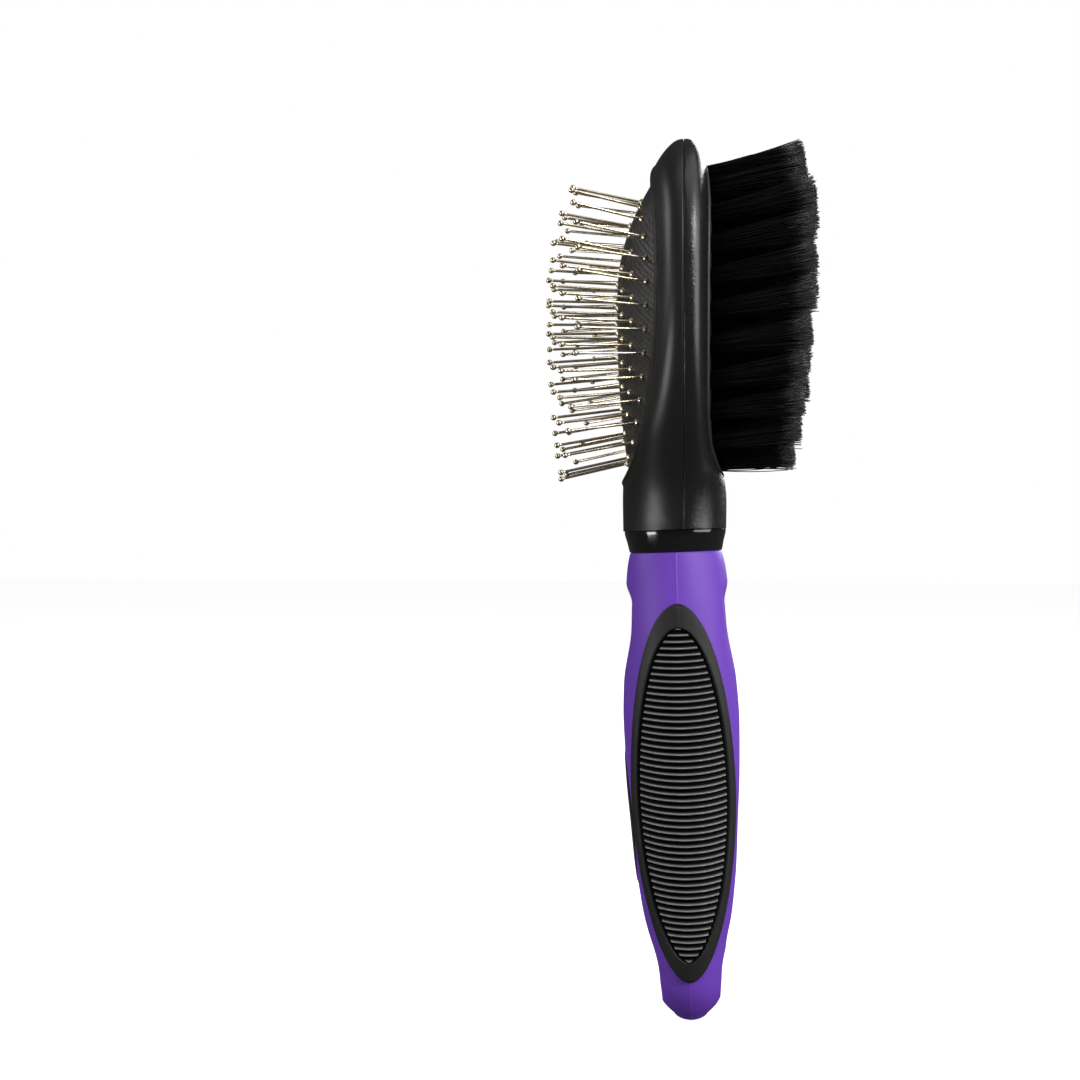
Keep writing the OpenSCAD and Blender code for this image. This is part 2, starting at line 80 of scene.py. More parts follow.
# %% From workshop millimetres to the frame
def to_frame(points, leaning=False):
    """Lower by the grip height; for the handle, turn about X by the lean; then mm become metres."""
    p = np.array(points, float)
    p[..., 2] -= GRIP_HEIGHT
    if leaning:
        y, z = p[..., 1].copy(), p[..., 2].copy()
        p[..., 1] = y * math.cos(LEAN) - z * math.sin(LEAN)
        p[..., 2] = y * math.sin(LEAN) + z * math.cos(LEAN)
    return p * MM


def ring_quads(rows, cols, start=0, close_rows=False):
    """Quads between neighbouring rings; a ring's last point joins its first, and with close_rows
    the last ring joins the first ring too."""
    r = np.arange(rows if close_rows else rows - 1)[:, None]
    c = np.arange(cols)[None, :]
    nxt, up = (c + 1) % cols, (r + 1) % rows
    corners = [r * cols + c, r * cols + nxt, up * cols + nxt, up * cols + c]
    return start + np.stack(corners, -1).reshape(-1, 4)


def fan(ring, centre):
    """Triangles from each edge of a ring of point numbers to one centre point."""
    ring = np.asarray(ring)
    return np.stack([ring, np.roll(ring, -1), np.full(len(ring), centre)], 1)


def end_fans(rows, cols):
    """Triangles that close both ends of a ring grid; the two poles come right after the grid's points."""
    ring = np.arange(cols)
    return np.concatenate([fan(ring, rows * cols)[:, ::-1], fan((rows - 1) * cols + ring, rows * cols + 1)])


print("a 3 by 4 ring grid has", len(ring_quads(3, 4)), "quads")


# %% Put the points into a mesh
def volume_of(points, quads, tris):
    """The signed volume: a sixth of the sum over triangles of a . (b x c)."""
    t = np.concatenate([quads[:, [0, 1, 2]], quads[:, [0, 2, 3]], tris])
    a, b, c = points[t[:, 0]], points[t[:, 1]], points[t[:, 2]]
    return np.einsum("ij,ij->i", a, np.cross(b, c)).sum() / 6


def piece(name, points, quads, tris=None, sharp=40, **attributes):
    """A closed mesh object with outward faces, smooth except where it turns by more than sharp."""
    points = np.asarray(points, float).reshape(-1, 3)
    tris = np.zeros((0, 3), int) if tris is None else np.asarray(tris).reshape(-1, 3)
    volume = volume_of(points, quads, tris)
    if volume < 0:
        quads, tris = quads[:, ::-1], tris[:, ::-1]
    mesh = bpy.data.meshes.new(name)
    mesh.vertices.add(len(points))
    mesh.vertices.foreach_set("co", points.astype(np.float32).ravel())
    corners = np.concatenate([quads.ravel(), tris.ravel()]).astype(np.int32)
    mesh.loops.add(len(corners))
    mesh.loops.foreach_set("vertex_index", corners)
    starts = np.concatenate([np.arange(len(quads)) * 4, len(quads) * 4 + np.arange(len(tris)) * 3])
    mesh.polygons.add(len(starts))
    mesh.polygons.foreach_set("loop_start", starts.astype(np.int32))
    mesh.update(calc_edges=True)
    mesh.validate()
    mesh.shade_smooth()
    mesh.set_sharp_from_angle(angle=math.radians(sharp))
    for key, values in attributes.items():
        mesh.attributes.new(key, "FLOAT", "POINT").data.foreach_set(
            "value", np.asarray(values, np.float32).ravel())
    obj = bpy.data.objects.new(name, mesh)
    bpy.context.scene.collection.objects.link(obj)
    print(f"{name}: {len(points)} points, {2 * len(quads) + len(tris)} triangles, "
          f"{abs(volume) / MM ** 3:.0f} mm3")
    return obj


def capped(name, grid, poles, leaning=False, **more):
    """A piece from a grid of rings in workshop millimetres, closed by a fan to a pole at each end."""
    rows, cols = grid.shape[:2]
    points = np.concatenate([grid.reshape(-1, 3), poles])
    return piece(name, to_frame(points, leaning), ring_quads(rows, cols), end_fans(rows, cols), **more)


# %% Smooth curves and steps
def smooth_curve(knots, t):
    """A cubic Hermite through knots [place, value]; each slope is the chord of its neighbours."""
    x, y = np.array(knots, float).T
    m = np.empty_like(y)
    m[1:-1] = (y[2:] - y[:-2]) / (x[2:] - x[:-2])
    m[0], m[-1] = (y[1] - y[0]) / (x[1] - x[0]), (y[-1] - y[-2]) / (x[-1] - x[-2])
    t = np.clip(t, x[0], x[-1])
    i = np.clip(np.searchsorted(x, t, "right") - 1, 0, len(x) - 2)
    w = x[i + 1] - x[i]
    u = (t - x[i]) / w
    return ((1 + 2 * u) * (1 - u) ** 2 * y[i] + u * (1 - u) ** 2 * w * m[i]
            + u * u * (3 - 2 * u) * y[i + 1] + u * u * (u - 1) * w * m[i + 1])


def ease(t):
    """A soft step: 3u2 - 2u3, with u held between 0 and 1."""
    u = np.clip(t, 0, 1)
    return u * u * (3 - 2 * u)


def power(v, p):
    """v to the power p, where anything below zero counts as zero."""
    return np.maximum(v, 0) ** p


def signed_power(v, p):
    """The power of the size of v, with the sign of v kept."""
    return np.sign(v) * np.abs(v) ** p


print("ease at a quarter:", ease(0.25))


# %% [markdown]
# ## Finishes
# Each material is procedural. It reads Object coordinates, so that a pattern keeps its size in
# metres and moves with its piece, or an attribute that its mesh carries. Moulded plastic is never
# one flat colour: it has a fine spark grain and a little cloudiness in its colour and gloss.

# %% A start for every finish
def new_finish(name, colour, roughness, **sockets):
    """A Principled material with its plain values set on the shader's own sockets."""
    material = bpy.data.materials.new(name)
    material.use_nodes = True
    tree = material.node_tree
    shader = tree.nodes["Principled BSDF"]
    shader.inputs["Base Color"].default_value = (*colour, 1)
    shader.inputs["Roughness"].default_value = roughness
    for key, value in sockets.items():
        shader.inputs[key.replace("_", " ").title().replace("Ior", "IOR")].default_value = value
    return material, tree, shader


def node(tree, kind, **values):
    """A node of that kind; values name its properties, or its sockets where it has no such property."""
    made = tree.nodes.new("ShaderNode" + kind)
    for key, value in values.items():
        if hasattr(made, key):
            setattr(made, key, value)
        else:
            made.inputs[key.replace("_", " ").title()].default_value = value
    return made


def place_of(tree):
    """Object coordinates, in metres."""
    return node(tree, "TexCoord").outputs["Object"]


def attribute(tree, name):
    """A value that the mesh carries at each of its points."""
    return node(tree, "Attribute", attribute_name=name).outputs["Fac"]


def cloud(tree, place, scale, detail=3.0, roughness=0.55):
    """Noise of that many features a metre."""
    made = node(tree, "TexNoise", Scale=scale, Detail=detail, Roughness=roughness)
    tree.links.new(place, made.inputs["Vector"])
    return made.outputs["Fac"]


def spread_to(tree, value, low, high, start=0.3, end=0.7):
    """The value's range from start to end, mapped to low to high."""
    made = node(tree, "MapRange", From_Min=start, From_Max=end, To_Min=low, To_Max=high)
    tree.links.new(value, made.inputs["Value"])
    return made.outputs["Result"]


def colour_between(tree, value, low, high, start=0.3, end=0.7):
    """A ramp from one colour to the other."""
    ramp = node(tree, "ValToRGB")
    first, last = ramp.color_ramp.elements
    first.position, first.color = start, (*low, 1)
    last.position, last.color = end, (*high, 1)
    tree.links.new(value, ramp.inputs["Fac"])
    return ramp.outputs["Color"]


def relief(tree, height, depth):
    """A Bump node whose full height is depth in metres."""
    made = node(tree, "Bump", Strength=1.0, Distance=depth)
    tree.links.new(height, made.inputs["Height"])
    return made.outputs["Normal"]


def added(tree, a, b):
    """The sum of two values."""
    made = node(tree, "Math", operation="ADD")
    for value, socket in zip((a, b), made.inputs):
        tree.links.new(value, socket)
    return made.outputs["Value"]


print("finish helpers are ready")


# %% Moulded plastic, with the grain of its mould
def moulded(name, colour, lift, roughness, spread, grain_scale, grain_depth, **sockets):
    """Plastic: a cloudy colour, a gloss that wanders by spread, and spark grain of that depth."""
    material, tree, shader = new_finish(name, colour, roughness, **sockets)
    place = place_of(tree)
    brighter = tuple(c * lift for c in colour)
    tree.links.new(colour_between(tree, cloud(tree, place, 55.0), colour, brighter),
                   shader.inputs["Base Color"])
    tree.links.new(spread_to(tree, cloud(tree, place, 180.0), roughness - spread, roughness + spread),
                   shader.inputs["Roughness"])
    grain = cloud(tree, place, grain_scale, 2.0, 0.6)
    tree.links.new(relief(tree, grain, grain_depth), shader.inputs["Normal"])
    return material


shell_satin = moulded("shell_satin", (0.010, 0.010, 0.0098), 1.25, 0.38, 0.02, 2600.0, 0.000012,
                      specular_ior_level=0.36)
shell_grain = moulded("shell_grain", (0.010, 0.010, 0.0100), 1.3, 0.25, 0.02, 2000.0, 0.00010,
                      specular_ior_level=0.5)
block_matte = moulded("block_matte", (0.010, 0.010, 0.010), 1.5, 0.5, 0.06, 2200.0, 0.00006)
inner_plastic = moulded("inner_plastic", (0.03, 0.03, 0.032), 1.4, 0.5, 0.06, 2000.0, 0.00005)
collar_gloss = moulded("collar_gloss", (0.006, 0.0065, 0.007), 1.3, 0.12, 0.03, 1200.0, 0.000006,
                       coat_weight=0.4, coat_roughness=0.05)
badge_gloss = moulded("badge_gloss", (0.006, 0.006, 0.0065), 1.4, 0.16, 0.03, 1500.0, 0.000008,
                      coat_weight=0.5, coat_roughness=0.05)
handle_purple = moulded("handle_purple", (0.140, 0.048, 0.420), 1.12, 0.48, 0.03, 2400.0, 0.00003,
                        specular_ior_level=0.3)
print("moulded plastics:", [m.name for m in (shell_satin, shell_grain, collar_gloss, handle_purple)])


# %% Polished steel wire
def polished_steel(name, colour, roughness):
    """Bright metal whose shade and gloss drift a little from place to place."""
    material, tree, shader = new_finish(name, colour, roughness, metallic=1.0)
    place = place_of(tree)
    duller = tuple(c * 0.92 for c in colour)
    tree.links.new(colour_between(tree, cloud(tree, place, 150.0), duller, colour),
                   shader.inputs["Base Color"])
    tree.links.new(spread_to(tree, cloud(tree, place, 300.0), roughness * 0.85, roughness * 1.25),
                   shader.inputs["Roughness"])
    return material


pin_steel = polished_steel("pin_steel", (0.74, 0.64, 0.47), 0.27)
staple_wire = polished_steel("staple_wire", (0.70, 0.62, 0.45), 0.25)
core_steel = polished_steel("core_steel", (0.6, 0.6, 0.6), 0.3)
print("metals:", pin_steel.name, staple_wire.name)


# %% Rubber of the air cushion
def cushion_rubber(name):
    """Black rubber moulded on cloth: the cloth's threads are in the mesh, and the fibres in the relief.
    A thread's crest is painted paler as a highlight, and the gaps and the vent darker as shade, by the
    attribute thread; the crest is also smoother."""
    material, tree, shader = new_finish(name, (0.006, 0.006, 0.006), 0.42)
    place = place_of(tree)
    thread = attribute(tree, "thread")
    # Painted light and shade: a pale painted highlight on the thread crests, darker painted shade in the
    # gaps and the vent.
    tree.links.new(colour_between(tree, thread, (0.0035, 0.0035, 0.0035), (0.013, 0.013, 0.013), 0.1, 0.95),
                   shader.inputs["Base Color"])
    tree.links.new(spread_to(tree, thread, 0.62, 0.34, 0.0, 1.0), shader.inputs["Roughness"])
    tree.links.new(relief(tree, cloud(tree, place, 3500.0, 3.0, 0.6), 0.00003), shader.inputs["Normal"])
    return material


pad_rubber = cushion_rubber("pad_rubber")


# %% Rubber of the grips
def grip_rubber_finish(name):
    """Matte rubber: the attribute rib is 0 in the furrows, low on the border, and 1 on a crest, where
    fingers have polished it smoother. The colour paints light and shade from it: a near-black painted shade
    in the furrows and a pale grey painted highlight on the crests. The attribute furrow takes the shine out
    of the bottom of a furrow."""
    material, tree, shader = new_finish(name, (0.014, 0.014, 0.0135), 0.5)
    place = place_of(tree)
    rib = attribute(tree, "rib")
    furrow = attribute(tree, "furrow")
    # Painted light and shade: a near-black painted shade in the furrows, a pale grey painted highlight on
    # the crests.
    tree.links.new(colour_between(tree, rib, (0.0012, 0.0012, 0.0012), (0.27, 0.27, 0.265), 0.0, 1.0),
                   shader.inputs["Base Color"])
    worn = spread_to(tree, rib, 0.55, 0.28, 0.2, 0.9)
    tree.links.new(spread_to(tree, furrow, 0.32, 0.03, 0.15, 0.7), shader.inputs["Specular IOR Level"])
    mottled = added(tree, worn, spread_to(tree, cloud(tree, place, 900.0), -0.05, 0.05))
    tree.links.new(mottled, shader.inputs["Roughness"])
    tree.links.new(relief(tree, cloud(tree, place, 2600.0, 2.0, 0.6), 0.00003), shader.inputs["Normal"])
    return material


grip_rubber = grip_rubber_finish("grip_rubber")


# %% Nylon bristle
def bristle_finish(name):
    """Glossy black nylon: each filament has its own shade and gloss, from the attribute strand."""
    material, tree, shader = new_finish(name, (0.004, 0.004, 0.0045), 0.3, specular_ior_level=0.3)
    strand = attribute(tree, "strand")
    tree.links.new(colour_between(tree, strand, (0.0025, 0.0025, 0.003), (0.011, 0.011, 0.012), 0.2, 1.0),
                   shader.inputs["Base Color"])
    tree.links.new(spread_to(tree, strand, 0.42, 0.26, 0.0, 1.0), shader.inputs["Roughness"])
    return material


bristle_nylon = bristle_finish("bristle_nylon")
print("soft finishes:", pad_rubber.name, grip_rubber.name, bristle_nylon.name)

# %% [markdown]
# ## The head's outline and its two faces
# Seen from the front the head is an egg that narrows to the neck. Its front face is a shallow
# crown that swells towards the neck; the back face is flatter and squarer. Both faces are
# written as a depth over each point of the outline, as a mould maker would draw them.

# %% Outline of the head
HEAD_TOP, HEAD_MID, HEAD_HALF = 227.4, 190.0, 32.5
HEAD_LOW, NECK_BASE, NECK_HALF = 127.4, 127.52, 14.7
EGG_POWER = 2.2


def head_half(z):
    """Half the head's width: a rounded-square arc above the middle, a cosine down to the neck."""
    above = HEAD_HALF * power(1 - power((z - HEAD_MID) / (HEAD_TOP - HEAD_MID), EGG_POWER), 1 / EGG_POWER)
    down = power((HEAD_MID - z) / (HEAD_MID - HEAD_LOW), 1.35)
    below = NECK_HALF + (HEAD_HALF - NECK_HALF) / 2 * (1 + np.cos(np.pi * down))
    return np.where(z >= HEAD_MID, above, below)


FRONT_KNOTS = [
    [0, 15.7], [10, 15.8], [16, 15.4], [24, 14], [35, 11.5], [48, 9.5], [60, 8.7], [79, 9], [86, 9.2],
    [90.5, 8.9], [93.5, 8], [96, 6.7], [98.3, 5.2], [100.4, 3.5], [101.8, 1.9], [102.6, 0.3]]
BACK_KNOTS = [
    [0, 11], [9, 11], [14, 10.3], [17, 8.8], [22, 7.3], [28, 6.7], [60, 6.6],
    [79, 6.7], [87, 6.4], [93.1, 5.7], [97.5, 4.4], [100, 3], [101.6, 1.8], [102.6, 0.3]]
KNOTS_END = FRONT_KNOTS[-1][0]
SIDES = {"front": (FRONT_KNOTS, 0.6), "back": (BACK_KNOTS, 1.6)}


def face_depth(side, x, z, flank=0.17):
    """Depth of a face over the seam: flank + (depth(z) - flank) * (1 - |x / half|^p)^(1/p), where
    p grows from 2 at the neck to 2 + squareness at the head. The knots give the depth by height
    over the neck, and are stretched a little to end at the head's top."""
    knots, squareness = SIDES[side]
    height = (z - HEAD_LOW) / (HEAD_TOP - HEAD_LOW) * KNOTS_END
    p = 2 + squareness * ease((height - 8) / 20)
    x_share = np.minimum(np.abs(x) / np.maximum(head_half(z), 1e-6), 1)
    return flank + (smooth_curve(knots, height) - flank) * power(1 - x_share ** p, 1 / p)


print("front crown at the middle:", round(float(face_depth("front", 0.0, 187.0)), 2), "mm")


# %% The egg shared by the opening, the cushion and the block
EGG_MID = 187.0


def egg_point(a, w, up, down):
    """A rounded egg: width w, height up above its middle and down below it."""
    x = w * signed_power(np.cos(a), 2 / EGG_POWER)
    s = np.sin(a)
    return x, EGG_MID + np.where(s >= 0, up, down) * signed_power(s, 2 / EGG_POWER)


def egg_share(x, z, w, up, down):
    """How far a point is on its way from the egg's middle to its edge."""
    v = np.abs(z - EGG_MID) / np.where(z >= EGG_MID, up, down)
    return ((np.abs(x) / w) ** EGG_POWER + v ** EGG_POWER) ** (1 / EGG_POWER)


OPENING = (24.6, 33.5, 46.5)
BLOCK = (24.0, 35.5, 46.2)
print("the opening is", 2 * OPENING[0], "by", OPENING[1] + OPENING[2], "mm")


# %% Rays from the egg's middle to the outline
def ray_radius(turn, x, z):
    """The distance from the egg's middle to a closed line, along rays at those turns from straight
    down. The line is given by its right half, from the bottom up."""
    angles = np.arctan2(x, EGG_MID - z)
    return np.interp(turn, angles, np.hypot(x, z - EGG_MID))


CORNER = math.atan2(NECK_HALF, EGG_MID - NECK_BASE)
half_turn = np.concatenate([np.linspace(0, CORNER, 18), np.linspace(CORNER, np.pi, 170)[1:]])
rays = np.concatenate([-half_turn[:0:-1], half_turn[:-1]])
TOP_ZONE = 8
heights = np.concatenate([np.linspace(NECK_BASE, HEAD_TOP - TOP_ZONE, 500),
                          HEAD_TOP - TOP_ZONE * np.linspace(1, 0, 200)[1:] ** 2])
base_x = np.linspace(0, NECK_HALF, 60)[:-1]
line_x = np.concatenate([base_x, head_half(heights)])
line_z = np.concatenate([np.full(len(base_x), NECK_BASE), heights])
outline = ray_radius(np.abs(rays), line_x, line_z)
print(len(rays), "rays; longest", round(outline.max(), 1), "mm")


def egg_radius(turn, w, up, down):
    """The egg's radius along the rays."""
    x, z = egg_point(np.linspace(-np.pi / 2, np.pi / 2, 1500), w, up, down)
    return ray_radius(np.abs(turn), x, z)


# %% [markdown]
# ## The two head shells
# Each shell is a closed frame round an opening: it could be cut out of a block with a boolean,
# but then the shading along the cut is poor. Here every ray from the middle carries one closed
# profile: up the seam's flank, over the face, across a thin lip, down the wall of the opening and
# back along the seam. Joined side by side, the profiles make a ring with clean quads.

# %% One shell as a ring of profiles
def neck_lean(points):
    """Near the neck the rings lean with the handle, so that the collar meets them squarely."""
    p = points.copy()
    p[..., 2] += p[..., 1] * math.tan(LEAN) * (1 - ease((p[..., 2] - HEAD_LOW) / 20))
    return p


WALL_FOOT = 1.2
SEAM = {"front": [(0.45, 0.3), (0.35, -0.05), (0.1, -0.07), (0.03, -0.13)],
        "back": [(0.27, 0.4), (0.18, 0.05), (0.1, 0.07), (0.03, 0.13)]}


def shell_frame(side, opening, edge_rows):
    """Rows run from the seam's tongue (front) or groove (back) to the outline and on to the
    opening. SEAM gives (distance inside the outline, depth), and edge_rows give (distance from the
    opening, lift)."""
    sign = -1 if side == "front" else 1
    inner = egg_radius(rays, *opening)
    reach = outline - inner
    near = edge_rows[0][0]
    flow = 1 - (1 - np.linspace(0, 1, 30)) ** 2.4
    away = [(near + (reach - near) * f, 0.0) for f in flow[::-1]]
    rows = away + [(d, lift) for d, lift in edge_rows[1:]]
    lines = []
    seam = SEAM[side]
    for distance, lift in rows:
        r = inner + distance
        x, z = r * np.sin(rays), EGG_MID - r * np.cos(rays)
        lines.append(np.stack([x, sign * (face_depth(side, x, z) + lift), z], -1))

    def at(distance, y):
        r = np.maximum(outline - distance, inner)
        return np.stack([r * np.sin(rays), np.full(len(rays), y), EGG_MID - r * np.cos(rays)], -1)

    wall = lines[-1].copy()
    wall[:, 1] = sign * WALL_FOOT
    flank = [at(d, y) for d, y in seam]
    foot = wall.copy()
    foot[:, 1] = seam[0][1]
    return neck_lean(np.stack([foot] + flank + lines + [wall]))


front_edge = [(1.9, 0), (1.5, 0.05), (1.15, 0.2), (0.9, 0.34), (0.65, 0.4), (0.4, 0.36), (0.2, 0.24),
              (0.07, 0.05), (0.0, -0.25)]
grid = shell_frame("front", OPENING, front_edge)
front_shell = piece("front_shell", to_frame(grid), ring_quads(*grid.shape[:2], close_rows=True), sharp=50)
back_edge = [(1.6, 0), (1.0, 0), (0.6, -0.03), (0.3, -0.12), (0.1, -0.26), (0.0, -0.45)]
grid = shell_frame("back", BLOCK, back_edge)
back_shell = piece("back_shell", to_frame(grid), ring_quads(*grid.shape[:2], close_rows=True), sharp=50)

# %% Ride, replace and finish the shells
def settle(obj, body, material, slot, *nodes):
    """Gives a piece its finish and its body, and hides the CAD nodes it stands for. The slot is not used.
    """
    obj.data.materials.append(material)
    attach(obj, body)
    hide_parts(*nodes)
    return obj


settle(front_shell, "brush", shell_satin, "head_black", "head_front_shell")
settle(back_shell, "brush", shell_grain, "head_black", "head_back_shell")

# %% [markdown]
# ## The air cushion
# The cushion is a rubber skin, tight over trapped air, with the print of a woven cloth. The
# dome is a formula over an egg; the threads are real relief in the mesh, so they also show in an
# export without its materials. The skin has a true inner side, and its skirt reaches down
# between the frame and the base plate.

# %% The dome's formula
DOME_RISE, EDGE_SINK = 10.2, 1.8
side_crest = float(face_depth("front", OPENING[0], EGG_MID))
CROWN_EDGE = side_crest + 0.3


def dome_depth(s, a):
    """Edge height + (rim's crest - sink - edge height) s^2 + rise (1 - s^2.15), for share s, turn a."""
    x, z = egg_point(a, *OPENING)
    crest = face_depth("front", x, z)
    return CROWN_EDGE + (crest - EDGE_SINK - CROWN_EDGE) * s * s + DOME_RISE * (1 - power(s, 2.15))


def dome_at(x, z):
    """The dome's depth over a point of the opening."""
    s = egg_share(x, z, *OPENING)
    u = signed_power(x / OPENING[0], EGG_POWER / 2)
    v = signed_power((z - EGG_MID) / np.where(z >= EGG_MID, OPENING[1], OPENING[2]), EGG_POWER / 2)
    return dome_depth(s, np.arctan2(v, u))


print("dome crown:", round(float(dome_depth(0.0, 0.0)), 2), "mm; side crest", round(side_crest, 2))

# %% Threads and vent
THREAD = 1.15


def threads(x, z):
    """A twill print: long dashes down to the right, one in each diamond of a turned square lattice.
    The dash is a cosine ridge across, cut into lengths by a slower cosine along."""
    along, across = (x - z) / math.sqrt(2), (x + z) / math.sqrt(2)
    row = np.floor(across / THREAD + 0.5)
    ridge = np.cos(np.pi * (across / THREAD - row)) ** 2
    step = np.cos(np.pi * (along / THREAD + 0.5 * row)) ** 2
    return ridge ** 0.8 * (0.25 + 0.75 * step ** 0.6)


VENT = (-0.8, 163.0)


def vent(x, z):
    """A round hole with a soft edge, 1.5 mm across."""
    return 1 - ease((np.hypot(x - VENT[0], z - VENT[1]) - 0.5) / 0.45)


# %% The skin as one closed mesh
def square_disc(nu, nv):
    """A square grid pulled onto a disc: x = u sqrt(1 - v2/2), y = v sqrt(1 - u2/2)."""
    u, v = np.meshgrid(np.linspace(-1, 1, nu), np.linspace(-1, 1, nv))
    x, y = u * np.sqrt(1 - v * v / 2), v * np.sqrt(1 - u * u / 2)
    return np.minimum(np.hypot(x, y), 1), np.arctan2(y, x)


def rim_of(nu, nv):
    """The point numbers round the edge of a grid, in order."""
    n = np.arange(nu * nv).reshape(nv, nu)
    return np.concatenate([n[0, :-1], n[:-1, -1], n[-1, :0:-1], n[:0:-1, 0]])


PAD_NU, PAD_NV, PAD_WALL, PAD_GAP = 250, 370, 1.4, 0.15
share, turn = square_disc(PAD_NU, PAD_NV)
pad_x, pad_z = egg_point(turn, *[(v - PAD_GAP) * share for v in OPENING])
thread = threads(pad_x, pad_z) * ease((0.985 - share) / 0.02)
hole = vent(pad_x, pad_z)
pad_y = -(dome_depth(share, turn) + 0.075 * (thread - 0.5) - 0.9 * hole)
top = np.stack([pad_x, pad_y, pad_z], -1).reshape(-1, 3)
rim = rim_of(PAD_NU, PAD_NV)
rim_turn = turn.ravel()[rim]


def rim_ring(s, inset, y=None):
    """A ring of the skin's hidden side, at share s."""
    x, z = egg_point(rim_turn, *[(v - inset) * s for v in OPENING])
    depth = np.full(len(rim), y) if y is not None else -dome_depth(s, rim_turn) + PAD_WALL
    return np.stack([x, depth, z], -1)


FOOT = -2.93
under = [rim_ring(1, PAD_GAP, FOOT), rim_ring(1, PAD_GAP + PAD_WALL, FOOT)]
under += [rim_ring(s, PAD_GAP + PAD_WALL) for s in (1, 0.92, 0.82, 0.7, 0.56, 0.4, 0.22, 0.08)]
first = len(top)
ring_n = len(rim)
inner_crown = np.array([[0, -float(dome_depth(0.0, 0.0)) + PAD_WALL, EGG_MID]])
points = np.concatenate([top] + under + [inner_crown])
n = np.arange(PAD_NU * PAD_NV).reshape(PAD_NV, PAD_NU)
quads = np.stack([n[:-1, :-1], n[:-1, 1:], n[1:, 1:], n[1:, :-1]], -1).reshape(-1, 4)
edge = first + np.arange(ring_n)
skirt = np.stack([rim, edge, np.roll(edge, -1), np.roll(rim, -1)], -1)
back = ring_quads(len(under), ring_n, first)[:, ::-1]
tip = fan(edge + (len(under) - 1) * ring_n, len(points) - 1)
# This attribute paints light and shade into the rubber: a pale painted highlight on the thread crests,
# darker painted shade in the gaps and the vent.
thread_light_and_shade = np.concatenate([(thread * (1 - hole)).ravel(), np.zeros(len(points) - first)])
cushion = piece("cushion_skin", to_frame(points), np.concatenate([quads, skirt, back]), tip[:, ::-1],
                sharp=60, thread=thread_light_and_shade)
settle(cushion, "brush", pad_rubber, "pad_rubber", "pin_pad")
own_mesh(cushion)

# %% [markdown]
# ## The pins
# Eighty-five steel wires stand in four rings and a short middle row. Each has a ball tip and a
# small domed washer at its root. A wire could be an extruded curve with spheres, but one turned
# profile, carried to every place as a whole array, gives all of them at once with few faces.

# %% Places of the pins
def egg_stations(count, w, up, down):
    """Points at equal steps of length round an egg, starting at its top."""
    a = np.pi / 2 + np.linspace(0, 2 * np.pi, 181)
    x, z = egg_point(a, w, up, down)
    run = np.concatenate([[0], np.cumsum(np.hypot(np.diff(x), np.diff(z)))])
    at = run[-1] * np.arange(count) / count
    return np.stack([np.interp(at, run, x), np.interp(at, run, z)], -1)


PIN_RINGS = [(30, 20.1, 25.3, 42.2), (24, 15.2, 19.6, 36.6), (18, 10.1, 13.9, 31.6), (10, 5.3, 7.4, 19.8)]
pin_places = np.concatenate([egg_stations(*r) for r in PIN_RINGS]
                            + [[[0, EGG_MID], [0, EGG_MID - 5.8], [0, EGG_MID - 11.6]]])
pin_root = dome_at(pin_places[:, 0], pin_places[:, 1])
LEVEL_HIGH, LEVEL_LOW, LEVELS = CROWN_EDGE + DOME_RISE - side_crest, 2.0, 5
drop = LEVEL_HIGH - (pin_root - side_crest)
level = np.clip(1 + np.floor(drop * LEVELS / (LEVEL_HIGH - LEVEL_LOW)), 1, LEVELS)
print("pins in each level:", [int((level == k).sum()) for k in range(1, LEVELS + 1)])


# %% A turned profile along many axes
def unit(v):
    """Each vector at length one."""
    return v / np.linalg.norm(v, axis=-1, keepdims=True)


def side_axes(way):
    """Two unit vectors square to each way."""
    a = unit(np.cross(way, np.array([0.0, 0.0, 1.0])))
    return a, np.cross(way, a)


def turned(roots, ways, profile, sides):
    """The profile's (radius, distance) rings round each axis: point = root + way d + r (a cos + b sin)."""
    a, b = side_axes(ways)
    t = 2 * np.pi * np.arange(sides) / sides
    r, d = np.array(profile, float).T
    round_ = a[:, None, None] * np.cos(t)[:, None] + b[:, None, None] * np.sin(t)[:, None]
    return roots[:, None, None] + ways[:, None, None] * d[:, None, None] + round_ * r[:, None, None]


def repeated(name, points, quads, tris, **more):
    """One mesh of many copies of the same faces: points has one row of points for each copy."""
    shift = points.shape[1] * np.arange(len(points))[:, None, None]
    quads, tris = (quads + shift).reshape(-1, 4), (tris + shift).reshape(-1, 3)
    return piece(name, to_frame(points), quads, tris, **more)


def many_turned(name, roots, ways, profile, sides, ends):
    """Closed turned pieces in one mesh; ends are the two poles' distances along the axis."""
    body = turned(roots, ways, profile, sides)
    count, rows = body.shape[:2]
    poles = roots[:, None] + ways[:, None] * np.array(ends)[:, None]
    points = np.concatenate([body.reshape(count, -1, 3), poles], 1)
    return repeated(name, points, ring_quads(rows, sides), end_fans(rows, sides), sharp=75)


# %% Make the five levels of pins
PIN_LEN, PIN_R, TIP_R, BEAD_R = 18.7, 0.35, 0.75, 0.9
ball = np.radians([-66, -40, -12, 16, 44, 70])
BEAD = [(BEAD_R * 0.98, -0.25), (BEAD_R, 0.12), (BEAD_R * 0.86, 0.36), (PIN_R * 1.15, 0.56), (PIN_R, 0.75)]
PIN_PROFILE = (BEAD + [(PIN_R, 8.0), (PIN_R, PIN_LEN - 2.1)]
               + [(TIP_R * math.cos(b), PIN_LEN - TIP_R + TIP_R * math.sin(b)) for b in ball])
tilt = np.random.default_rng(7).normal(0, 0.014, (len(pin_places), 2))
pin_ways = unit(np.stack([0.0263 * pin_places[:, 0] + tilt[:, 0], -np.ones(len(pin_places)),
                          0.0064 * (pin_places[:, 1] - EGG_MID + 8) + tilt[:, 1]], -1))
